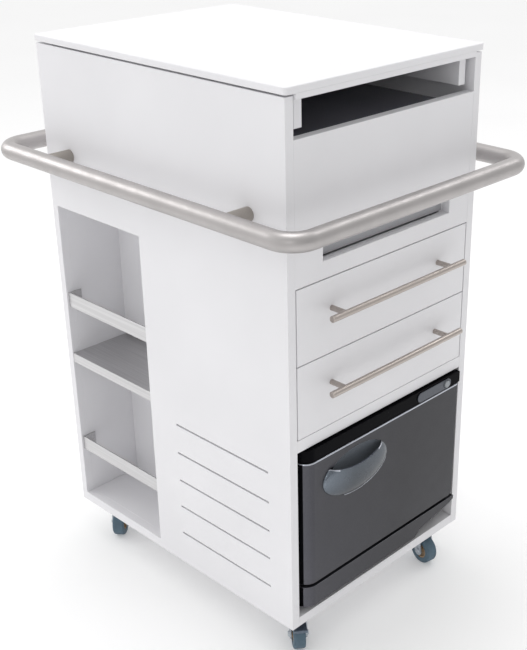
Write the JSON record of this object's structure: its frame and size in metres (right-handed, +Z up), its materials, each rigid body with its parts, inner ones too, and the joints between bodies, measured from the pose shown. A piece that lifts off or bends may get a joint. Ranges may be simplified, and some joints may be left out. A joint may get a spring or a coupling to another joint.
{
  "type": "rolling salon trolley",
  "caption": "Laminate salon trolley on swivel casters with a sliding top, drawers, pull-out shelf, bottle niche, push rail all round and a towel warmer in the bay.",
  "frame": {"origin": "on the floor, under the centre of the cabinet and of the push rail loop", "axes": "+Z up, the drawer fronts face -Y, the bottle niche is on the -X side"},
  "size_m": [0.6478, 0.835, 1.105],
  "materials": {
    "white_laminate": "white melamine, satin",
    "charcoal_laminate": "charcoal laminate, satin",
    "grey_laminate": "grey laminate, satin",
    "brushed_stainless": "brushed",
    "brushed_nickel": "brushed nickel",
    "zinc_steel": "zinc plated",
    "runner_steel": "zinc plated, dull",
    "black_enamel": "black enamel",
    "gloss_black": "gloss black",
    "graphite_metallic": "dark metallic paint",
    "silver_plastic": "silver metallic",
    "grey_plastic": "satin grey",
    "chamber_aluminium": "bright satin",
    "seal_rubber": "matt",
    "lamp_glass": "clear",
    "heater_steel": "oxidised",
    "rack_wire": "polished",
    "black_plastic": "moulded",
    "blue_grey_rubber": "matt",
    "tan_plastic": "moulded"
  },
  "bodies": {
    "cabinet": {"left_side_panel": "white_laminate", "right_side_panel": "white_laminate", "back_panel": "white_laminate", "bottom_board": "white_laminate", "bay_roof_board": "white_laminate", "cross_divider": "white_laminate", "niche_back_board": "white_laminate", "middle_board": "white_laminate", "upper_front_panel": "white_laminate", "shelf_guides": "white_laminate", "well_deck": "charcoal_laminate", "handrail": "brushed_stainless", "rail_posts": "brushed_stainless", "niche_shelf": "brushed_stainless", "guard_bars": "brushed_stainless", "guard_screws": "brushed_stainless", "runner_channels": "runner_steel", "caster_plates": "zinc_steel", "warmer_casing": "black_enamel", "warmer_chamber": "chamber_aluminium", "warmer_fascia": "gloss_black", "warmer_base_band": "graphite_metallic", "warmer_feet": "seal_rubber", "control_plate": "silver_plastic", "warmer_hinge_pins": "zinc_steel", "uv_lamp": "lamp_glass", "heater_element": "heater_steel", "towel_rack": "rack_wire", "power_inlet": "black_plastic"},
    "sliding_top": {"top_board": "white_laminate", "top_frame": "white_laminate", "top_slides": "runner_steel"},
    "upper_drawer": {"upper_drawer_front": "white_laminate", "upper_drawer_box": "white_laminate", "upper_drawer_slides": "runner_steel", "upper_drawer_pull": "brushed_nickel"},
    "lower_drawer": {"lower_drawer_front": "white_laminate", "lower_drawer_box": "white_laminate", "lower_drawer_slides": "runner_steel", "lower_drawer_pull": "brushed_nickel"},
    "shelf": {"work_shelf": "grey_laminate"},
    "door": {"warmer_door": "graphite_metallic", "door_liner": "chamber_aluminium", "door_seal": "seal_rubber", "door_handle": "silver_plastic"},
    "switch": {"power_switch": "grey_plastic"},
    "front_left_swivel": {"front_left_fork": "zinc_steel"},
    "front_left_wheel": {"front_left_hub": "tan_plastic", "front_left_tyre": "blue_grey_rubber"},
    "front_left_brake": {"front_left_brake_pedal": "zinc_steel"},
    "front_right_swivel": {"front_right_fork": "zinc_steel"},
    "front_right_wheel": {"front_right_hub": "tan_plastic", "front_right_tyre": "blue_grey_rubber"},
    "rear_left_swivel": {"rear_left_fork": "zinc_steel"},
    "rear_left_wheel": {"rear_left_hub": "tan_plastic", "rear_left_tyre": "blue_grey_rubber"},
    "rear_right_swivel": {"rear_right_fork": "zinc_steel"},
    "rear_right_wheel": {"rear_right_hub": "tan_plastic", "rear_right_tyre": "blue_grey_rubber"},
    "rear_right_brake": {"rear_right_brake_pedal": "zinc_steel"}
  },
  "joints": [
    {"name": "top_slide", "type": "slide", "parent": "cabinet", "child": "sliding_top", "axis": [0, -1, 0], "range_m": [0, 0.4]},
    {"name": "upper_drawer_slide", "type": "slide", "parent": "cabinet", "child": "upper_drawer", "axis": [0, -1, 0], "range_m": [0, 0.25]},
    {"name": "lower_drawer_slide", "type": "slide", "parent": "cabinet", "child": "lower_drawer", "axis": [0, -1, 0], "range_m": [0, 0.25]},
    {"name": "shelf_slide", "type": "slide", "parent": "cabinet", "child": "shelf", "axis": [0, -1, 0], "range_m": [0, 0.24]},
    {"name": "door_hinge", "type": "hinge", "parent": "cabinet", "child": "door", "pos_m": [0.215, -0.325, 0.3], "axis": [0, 0, 1], "range_deg": [0, 105]},
    {"name": "switch_rock", "type": "hinge", "parent": "cabinet", "child": "switch", "pos_m": [0.18, -0.3355, 0.4455], "axis": [0, 0, 1], "range_deg": [-8, 8]},
    {"name": "front_left_swivel_turn", "type": "hinge", "parent": "cabinet", "child": "front_left_swivel", "pos_m": [-0.186, -0.276, 0.072], "axis": [0, 0, 1], "continuous": true},
    {"name": "front_left_wheel_spin", "type": "hinge", "parent": "front_left_swivel", "child": "front_left_wheel", "pos_m": [-0.20016, -0.29412, 0.03], "axis": [0.788, -0.6157, 0], "continuous": true},
    {"name": "front_left_brake_press", "type": "hinge", "parent": "front_left_swivel", "child": "front_left_brake", "pos_m": [-0.20016, -0.29412, 0.065], "axis": [0.788, -0.6157, 0], "range_deg": [0, 8], "stiffness_Nm_per_rad": 1},
    {"name": "front_right_swivel_turn", "type": "hinge", "parent": "cabinet", "child": "front_right_swivel", "pos_m": [0.186, -0.276, 0.072], "axis": [0, 0, 1], "continuous": true},
    {"name": "front_right_wheel_spin", "type": "hinge", "parent": "front_right_swivel", "child": "front_right_wheel", "pos_m": [0.18201, -0.29865, 0.03], "axis": [0.9848, -0.1736, 0], "continuous": true},
    {"name": "rear_left_swivel_turn", "type": "hinge", "parent": "cabinet", "child": "rear_left_swivel", "pos_m": [-0.186, 0.276, 0.072], "axis": [0, 0, 1], "continuous": true},
    {"name": "rear_left_wheel_spin", "type": "hinge", "parent": "rear_left_swivel", "child": "rear_left_wheel", "pos_m": [-0.20412, 0.26184, 0.03], "axis": [0.6157, -0.788, 0], "continuous": true},
    {"name": "rear_right_swivel_turn", "type": "hinge", "parent": "cabinet", "child": "rear_right_swivel", "pos_m": [0.186, 0.276, 0.072], "axis": [0, 0, 1], "continuous": true},
    {"name": "rear_right_wheel_spin", "type": "hinge", "parent": "rear_right_swivel", "child": "rear_right_wheel", "pos_m": [0.17091, 0.25864, 0.03], "axis": [0.7547, -0.6561, 0], "continuous": true},
    {"name": "rear_right_brake_press", "type": "hinge", "parent": "rear_right_swivel", "child": "rear_right_brake", "pos_m": [0.17091, 0.25864, 0.065], "axis": [0.7547, -0.6561, 0], "range_deg": [0, 8], "stiffness_Nm_per_rad": 1}
  ]
}
